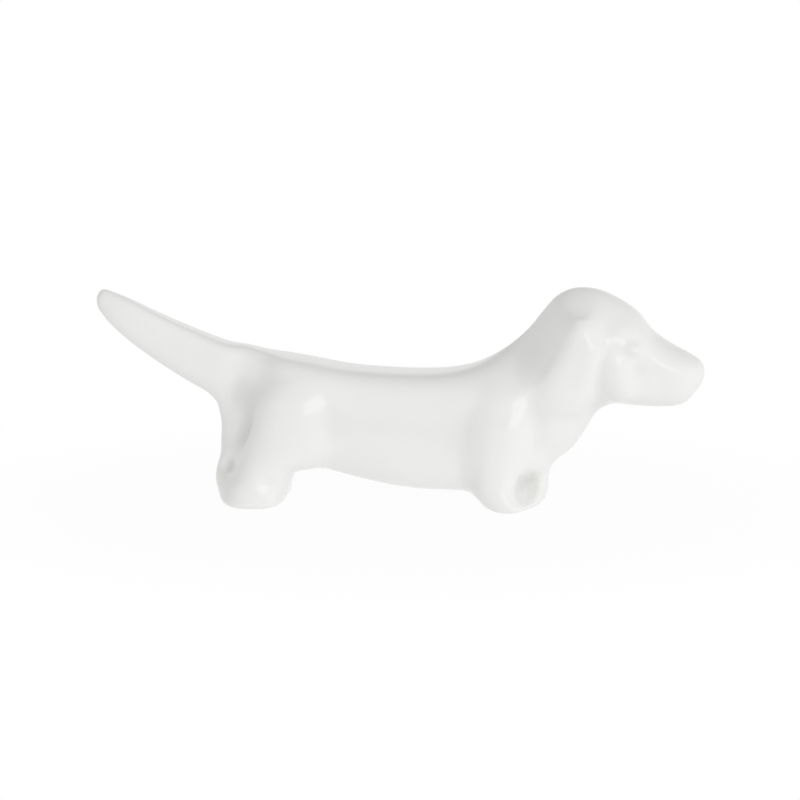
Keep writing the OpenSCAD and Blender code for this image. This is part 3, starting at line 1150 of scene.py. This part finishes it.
@dataclass
class HindLeg(Leg):
    """Thigh, leg and foot, with half of the web behind. Its station is the middle of the leg's box."""

    part: ClassVar[Part] = Part.HIND_LEG
    nodes: ClassVar[tuple[str, ...]] = ("left_hind_leg", "right_hind_leg")
    swelling: Bulge = Bulge((5.2, 4.4, 12.4), (5.4, 4.4, 6.6), 0.0, 2.6)
    slices: tuple[Slice, ...] = (
        Slice(-1.5, -4.6, 2.5, 0.0, 8.6, 2.4),
        Slice(0.0, -5.2, 3.0, 0.0, 9.0, 2.4),
        Slice(1.2, -5.6, 3.5, 0.0, 9.3, 2.4),
        Slice(3.0, -5.2, 3.8, 0.0, 9.2, 2.4),
        Slice(5.0, -4.0, 4.4, 0.0, 9.0, 2.4),
        Slice(6.5, -3.4, 5.0, 0.0, 9.0, 2.4),
        Slice(8.0, -3.0, 6.5, 0.0, 8.9, 2.4),
        Slice(10.5, -2.1, 8.4, 0.0, 8.7, 2.5),
        Slice(13.0, -0.8, 8.8, 0.0, 8.5, 2.6),
        Slice(16.5, 0.2, 8.4, 0.0, 8.1, 2.6),
        Slice(18.5, 1.6, 7.0, 0.0, 7.1, 2.4),
    )
    web: tuple[Slice, ...] = (
        web_slice(-1.5, -5.6, 2.4, 7.4, 2.2),
        web_slice(0.0, -6.2, 2.9, 7.8, 2.2),
        web_slice(1.6, -7.0, 3.8, 7.0, 2.2),
        web_slice(3.2, -7.5, 4.3, 6.0, 2.2),
        web_slice(4.8, -7.5, 4.9, 5.4, 2.2),
        web_slice(6.4, -7.1, 6.0, 5.0, 2.2),
        web_slice(8.5, -6.5, 6.4, 4.4, 2.2),
        web_slice(11.0, -6.2, 6.0, 2.4, 2.2),
        web_slice(14.0, -6.2, 5.0, 2.0, 2.2),
    )
    hollows: tuple[Bulge, ...] = (
        Bulge((-5.6, 6.0, 6.1), (1.2, 4.0, 1.9), -25.0),
        Bulge((2.1, 9.7, 4.2), (1.7, 1.1, 0.9)),
    )

    def joint(self, lattice: Lattice, forms: Forms) -> np.ndarray:
        """A field that is negative on the leg's side of its joint with the rump."""
        return np.maximum(forms.hind_legs - forms.spine, lattice.axes()[0])


@dataclass
class Foreleg(Leg):
    """Shoulder, leg and foot, with half of the web in front. Its station is the middle of the leg's box."""

    part: ClassVar[Part] = Part.FORELEG
    nodes: ClassVar[tuple[str, ...]] = ("left_foreleg", "right_foreleg")
    hollow_fillet: float = 2.4
    swelling: Bulge = Bulge((0.2, 4.4, 11.8), (4.4, 4.3, 7.2), -6.0, 2.6)
    slices: tuple[Slice, ...] = (
        Slice(-1.5, -0.8, 3.2, 0.0, 9.0, 2.4),
        Slice(0.0, -1.4, 3.8, 0.0, 9.4, 2.4),
        Slice(1.2, -3.0, 4.4, 0.0, 9.5, 2.4),
        Slice(2.4, -4.2, 3.9, 0.0, 9.5, 2.4),
        Slice(3.8, -4.7, 3.2, 0.0, 9.3, 2.4),
        Slice(6.5, -4.6, 3.1, 0.0, 9.1, 2.4),
        Slice(10.0, -4.4, 3.3, 0.0, 8.8, 2.4),
        Slice(13.0, -3.6, 3.4, 0.0, 8.4, 2.5),
    )
    web: tuple[Slice, ...] = (
        web_slice(-1.5, -3.0, 5.2, 8.0, 2.0),
        web_slice(0.0, -3.4, 6.0, 8.4, 2.0),
        web_slice(1.0, -3.4, 6.5, 7.6, 2.0),
        web_slice(2.0, -3.0, 6.9, 6.4, 2.2),
        web_slice(3.0, -2.0, 7.1, 5.6, 2.2),
        web_slice(5.5, 0.0, 7.1, 5.0, 2.2),
        web_slice(8.5, 0.0, 7.4, 4.6, 2.2),
    )
    hollows: tuple[Bulge, ...] = (Bulge((4.6, 6.6, 4.0), (1.6, 4.6, 2.6), -28.0),)

    def joint(self, lattice: Lattice, forms: Forms) -> np.ndarray:
        """A field that is negative on the leg's side of its joint with the chest."""
        return np.maximum(forms.forelegs - forms.spine, -lattice.axes()[0])


@dataclass
class Dog:
    """The whole figure: its pieces, welded into one form and cut apart again along their joints.

    The reach of the glaze, which softens the form, is in lattice steps.
    """

    tail: Tail
    torso: Torso
    head: Head
    ear: Ear
    foreleg: Foreleg
    hind_leg: HindLeg
    lattice: Lattice = field(default_factory=Lattice)
    leg_fillet: float = 2.4
    glaze_reach: float = 1.3
    sole_round: float = 1.3

    @classmethod
    def on_frame(cls) -> "Dog":
        """Puts each piece at its station on the frame.

        Returns:
            A dog whose tail tip, saddle, nose and legs are where the frame's are.
        """
        saddle = 0.0
        tail_tip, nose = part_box("tail")[0][0] / MM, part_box("head")[1][0] / MM
        hind, fore = (sum(corner[0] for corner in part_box(node)) / 2 / MM
                      for node in ("left_hind_leg", "left_foreleg"))
        return cls(Tail(tail_tip), Torso(saddle), Head(nose), Ear(nose), Foreleg(fore), HindLeg(hind))

    def forms(self) -> Forms:
        """Models the raw forms.

        Returns:
            Their signed distances.
        """
        ribs = self.tail.rows() + self.torso.rows() + self.head.rows()
        spine = self.lattice.distance(spine_loft(ribs, self.tail.tip, self.head.nose))
        return Forms(spine, self.head.modelled(self.lattice, spine), self.ear.form(self.lattice),
                     self.hind_leg.form(self.lattice), self.foreleg.form(self.lattice))

    def welded(self, forms: Forms) -> np.ndarray:
        """Welds the forms and stands the figure on its soles.

        Args:
            forms: the raw forms.

        Returns:
            The signed distance of the whole figure.
        """
        body = weld(weld(forms.skull, forms.hind_legs, self.leg_fillet), forms.forelegs, self.leg_fillet)
        body = soften(self.ear.welded(self.lattice, body, forms.ears), self.glaze_reach)
        table = np.broadcast_to(self.lattice.axes()[2], self.lattice.shape).astype(np.float32)
        return carve(body, table, self.sole_round)

    def cut(self) -> Joiner:
        """Draws the skin and cuts it into the pieces.

        Returns:
            What closes the pieces.
        """
        forms = self.forms()
        skin = Skin(self.lattice, self.welded(forms))
        for piece in (self.ear, self.hind_leg, self.foreleg, self.head, self.tail):
            skin.cut(piece.part, piece.joint(self.lattice, forms))
        return Joiner(skin)

    def pieces(self) -> list[Piece]:
        """The pieces in the order in which they are stuck up."""
        return [self.torso, self.head, self.ear, self.tail, self.foreleg, self.hind_leg]


def direction(azimuth: float, elevation: float) -> Vector:
    """The direction from the figure to a place in front of it, turned to the right and raised."""
    turn, rise = math.radians(azimuth), math.radians(elevation)
    return Vector((math.sin(turn) * math.cos(rise), -math.cos(turn) * math.cos(rise), math.sin(rise)))


@dataclass
class Studio:
    """Plain white studio with soft light from the front right, and a long lens at the photograph's angle.

    Brightness is a radiance, where 1 is the white of the background. The lens, the width of the frame and
    the height of the aim are in millimetres.
    """

    azimuth: float = 5.0
    elevation: float = 9.0
    lens: float = 180.0
    sensor: float = 36.0
    clip: Pair = (0.01, 20.0)
    frame_width: float = 124.6
    aim_height: float = 16.2
    bright_side: Triple = (0.7, -0.7, -0.2)
    bright: float = 1.72
    dim: float = 0.5
    falloff: float = 3.5
    mirrored_white: Pair = (0.3, 0.75)
    key_place: Pair = (25.0, 14.0)
    key_distance: float = 0.6
    key_size: Pair = (0.26, 0.2)
    key_brightness: float = 1.3
    table_half: float = 4.0
    table_colour: Colour = (0.9, 0.9, 0.9, 1.0)
    table_white: float = 0.95
    table_glow: float = 0.6
    shadow_reach: Pair = (0.03, 0.1)

    @property
    def middle(self) -> Vector:
        """The middle of the figure, in metres."""
        return Vector((0, 0, self.aim_height * MM))

    def aimed(self, data: bpy.types.Camera | bpy.types.Light, place: Vector) -> bpy.types.Object:
        """Puts up a camera or a lamp that faces the middle of the figure.

        Args:
            data: the camera or the lamp.
            place: where it goes, in metres.

        Returns:
            The object.
        """
        made = placed(data.name, data)
        made.location = place
        made.rotation_mode = "QUATERNION"
        made.rotation_quaternion = (self.middle - place).to_track_quat("-Z", "Y")
        return made

    def camera(self) -> None:
        """Sets up the camera that takes the picture."""
        data = bpy.data.cameras.new("camera")
        data.lens, data.sensor_width = self.lens, self.sensor
        data.sensor_fit = "HORIZONTAL"
        data.clip_start, data.clip_end = self.clip
        distance = self.frame_width * MM * self.lens / self.sensor
        place = self.middle + direction(self.azimuth, self.elevation) * distance
        bpy.context.scene.camera = self.aimed(data, place)

    def softbox(self) -> None:
        """Hangs the rectangular lamp in front of the figure."""
        data = bpy.data.lights.new("key_softbox", "AREA")
        data.shape = "RECTANGLE"
        data.size, data.size_y = self.key_size
        data.energy = self.key_brightness * math.pi * math.prod(self.key_size)
        self.aimed(data, direction(*self.key_place) * self.key_distance)

    def world(self) -> None:
        """Makes a world that is white to the camera and to low reflections, and lights from one side."""
        world = bpy.data.worlds.new("studio")
        bpy.context.scene.world = world
        world.use_nodes = True
        world.node_tree.nodes.clear()
        wiring = Wiring(world.node_tree)
        place = wiring.add("TexCoord").outputs["Generated"]
        side = Vector(self.bright_side).normalized()
        facing = wiring.add("VectorMath", {0: place, 1: side}, operation="DOT_PRODUCT").outputs["Value"]
        ahead = wiring.worked("POWER", wiring.spread(facing, (-1.0, 1.0), UNIT), self.falloff)
        level = wiring.spread(ahead, UNIT, (self.dim, self.bright))
        height = wiring.add("SeparateXYZ", {"Vector": place}).outputs["Z"]
        low = wiring.spread(height, self.mirrored_white, UNIT[::-1], "SMOOTHSTEP")
        camera, bounced = wiring.rays()
        seen = wiring.worked("MAXIMUM", camera, wiring.worked("MULTIPLY", bounced, low))
        room = wiring.add("Background", {"Color": WHITE, "Strength": level}).outputs["Background"]
        white = wiring.add("Background", {"Color": WHITE}).outputs["Background"]
        shown = wiring.add("MixShader", {"Fac": seen, 1: room, 2: white}).outputs["Shader"]
        wiring.add("OutputWorld", {"Surface": shown})

    def table_finish(self) -> bpy.types.Material:
        """Makes the table's white, which keeps a faint shadow near the figure.

        Returns:
            A matt material that glows, and that shows as white to the camera and to reflections.
        """
        material, wiring = new_material("white_table_top")
        wiring.tree.nodes.clear()
        place = wiring.add("TexCoord").outputs["Object"]
        reach = wiring.add("VectorMath", {0: place}, operation="LENGTH").outputs["Value"]
        fade = wiring.spread(reach, self.shadow_reach, (self.table_white, 1.0), "SMOOTHSTEP")
        seen = wiring.worked("MULTIPLY", wiring.worked("MAXIMUM", *wiring.rays()), fade)
        glow = wiring.worked("MAXIMUM", seen, self.table_glow)
        top = wiring.add("BsdfDiffuse", {"Color": self.table_colour}).outputs["BSDF"]
        white = wiring.add("Emission").outputs["Emission"]
        shown = wiring.add("MixShader", {"Fac": glow, 1: top, 2: white}).outputs["Shader"]
        wiring.add("OutputMaterial", {"Surface": shown})
        return material

    def table_top(self) -> None:
        """Lays the table top under the figure."""
        half = self.table_half
        corners = [(-half, -half, 0), (half, -half, 0), (half, half, 0), (-half, half, 0)]
        mesh = bpy.data.meshes.new("table_top")
        mesh.from_pydata(corners, [], [(0, 1, 2, 3)])
        mesh.materials.append(self.table_finish())
        placed("table_top", mesh)

    def build(self) -> None:
        """Sets up the whole studio."""
        self.camera()
        self.world()
        self.table_top()
        self.softbox()
        bpy.context.scene.view_settings.view_transform = "Standard"


def main() -> None:
    """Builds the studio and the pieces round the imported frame."""
    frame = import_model()
    LOG.info("the frame has %d nodes", len(frame["nodes"]))
    Studio().build()
    dog = Dog.on_frame()
    joiner = dog.cut()
    finishes = {Finish.GLAZE: Glaze().material(), Finish.BISQUE: Bisque().material()}
    for piece in dog.pieces():
        for made in piece.build(joiner):
            piece.dress(made, finishes)
            LOG.info("%s: %d points, %d faces", made.name, len(made.data.vertices), len(made.data.polygons))


if __name__ == "__main__":
    logging.basicConfig(level=logging.INFO, format="%(message)s")
    main()
